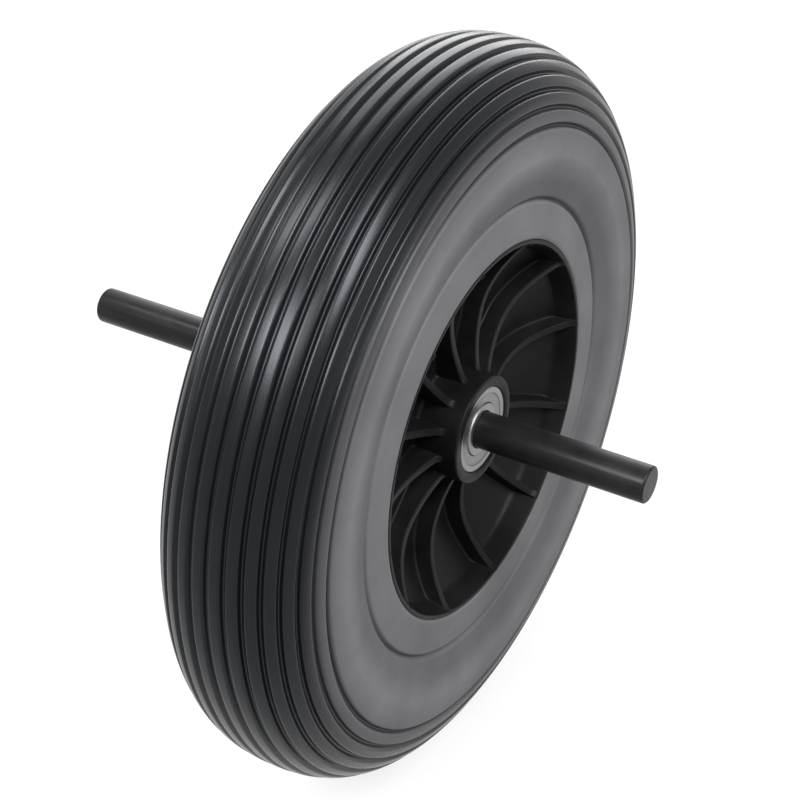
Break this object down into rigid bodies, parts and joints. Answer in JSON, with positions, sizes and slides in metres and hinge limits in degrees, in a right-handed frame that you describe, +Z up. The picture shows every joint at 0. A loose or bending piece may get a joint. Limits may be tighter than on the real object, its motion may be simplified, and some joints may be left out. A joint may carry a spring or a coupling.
{
  "type": "wheelbarrow wheel",
  "caption": "Wheelbarrow wheel: ribbed puncture-proof tyre on a moulded rim with radial ribs, turning on ball bearings on a plain steel axle.",
  "frame": {"origin": "centre of the wheel, on the axle's axis and in the middle plane of the tyre and rim", "axes": "+Y along the axle's axis, towards the back of the wheel and the longer end of the axle; +Z up; the pictured face looks along -Y"},
  "size_m": [0.4, 0.34, 0.4],
  "materials": {
    "tyre": "rubber, matt grey on the sidewalls and black with a shine on the tread",
    "rim": "black moulded plastic, satin",
    "axle": "black lacquered steel bar, satin",
    "sleeve": "plain steel tube",
    "races": "dull ground bearing steel",
    "balls": "polished bearing steel",
    "shields": "dull pressed sheet steel",
    "cages": "pressed sheet steel"
  },
  "bodies": {
    "axle": {"axle": "axle", "spacer_sleeve": "sleeve", "front_bearing_inner_race": "races", "rear_bearing_inner_race": "races"},
    "wheel": {"tyre": "tyre", "rim": "rim", "front_bearing_outer_race": "races", "front_bearing_face_shield": "shields", "front_bearing_back_shield": "shields", "rear_bearing_outer_race": "races", "rear_bearing_face_shield": "shields", "rear_bearing_back_shield": "shields"},
    "front_cage": {"front_bearing_cage": "cages", "front_bearing_ball_1": "balls", "front_bearing_ball_2": "balls", "front_bearing_ball_3": "balls", "front_bearing_ball_4": "balls", "front_bearing_ball_5": "balls", "front_bearing_ball_6": "balls", "front_bearing_ball_7": "balls", "front_bearing_ball_8": "balls"},
    "rear_cage": {"rear_bearing_cage": "cages", "rear_bearing_ball_1": "balls", "rear_bearing_ball_2": "balls", "rear_bearing_ball_3": "balls", "rear_bearing_ball_4": "balls", "rear_bearing_ball_5": "balls", "rear_bearing_ball_6": "balls", "rear_bearing_ball_7": "balls", "rear_bearing_ball_8": "balls"}
  },
  "joints": [
    {"name": "wheel_spin", "type": "hinge", "parent": "axle", "child": "wheel", "pos_m": [0, 0, 0], "axis": [0, 1, 0], "continuous": true},
    {"name": "front_cage_spin", "type": "hinge", "parent": "axle", "child": "front_cage", "pos_m": [0, -0.0284, 0], "axis": [0, 1, 0], "continuous": true},
    {"name": "rear_cage_spin", "type": "hinge", "parent": "axle", "child": "rear_cage", "pos_m": [0, 0.0284, 0], "axis": [0, 1, 0], "continuous": true}
  ],
  "couplings": [
    {"joint": "front_cage_spin", "follows": "wheel_spin", "ratio": 0.6185},
    {"joint": "rear_cage_spin", "follows": "wheel_spin", "ratio": 0.6185}
  ]
}
